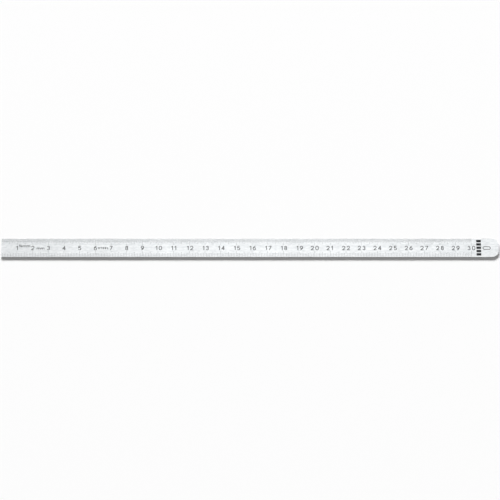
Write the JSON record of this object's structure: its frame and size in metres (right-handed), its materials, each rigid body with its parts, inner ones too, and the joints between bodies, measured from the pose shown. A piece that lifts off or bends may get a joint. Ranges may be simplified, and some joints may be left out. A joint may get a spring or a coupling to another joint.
{
  "type": "steel ruler",
  "caption": "Thin flexible steel ruler, square at the zero end and round-cornered at the other, with an etched half-millimetre scale on one edge and a millimetre scale on the other.",
  "frame": {"origin": "middle of the bottom edge of the square zero end, on the plain back face", "axes": "+X along the reading, from zero towards 30 cm; +Y across the width, towards the half-millimetre edge; +Z out of the marked face"},
  "size_m": [0.3175, 0.013, 0.0005],
  "materials": {
    "steel": "stainless spring steel, satin, with a fine lengthwise grain",
    "enamel": "black enamel, matt, in etched recesses"
  },
  "bodies": {
    "root": {"blade": "steel", "half_mm_label": "enamel", "lower_cm_lines": "enamel", "lower_five_mm_lines": "enamel", "lower_mm_lines": "enamel", "mm_label": "enamel", "number_01": "enamel", "number_02": "enamel", "number_03": "enamel", "number_04": "enamel", "number_05": "enamel", "number_06": "enamel", "number_07": "enamel", "number_08": "enamel", "number_09": "enamel", "number_10": "enamel", "number_11": "enamel", "number_12": "enamel", "number_13": "enamel", "number_14": "enamel", "number_15": "enamel", "number_16": "enamel", "number_17": "enamel", "number_18": "enamel", "number_19": "enamel", "number_20": "enamel", "number_21": "enamel", "number_22": "enamel", "number_23": "enamel", "number_24": "enamel", "number_25": "enamel", "number_26": "enamel", "number_27": "enamel", "number_28": "enamel", "number_29": "enamel", "number_30": "enamel", "steel_label": "enamel", "tail_blocks": "enamel", "tail_oval": "enamel", "upper_cm_lines": "enamel", "upper_five_mm_lines": "enamel", "upper_half_mm_lines": "enamel", "upper_mm_lines": "enamel"}
  },
  "joints": []
}
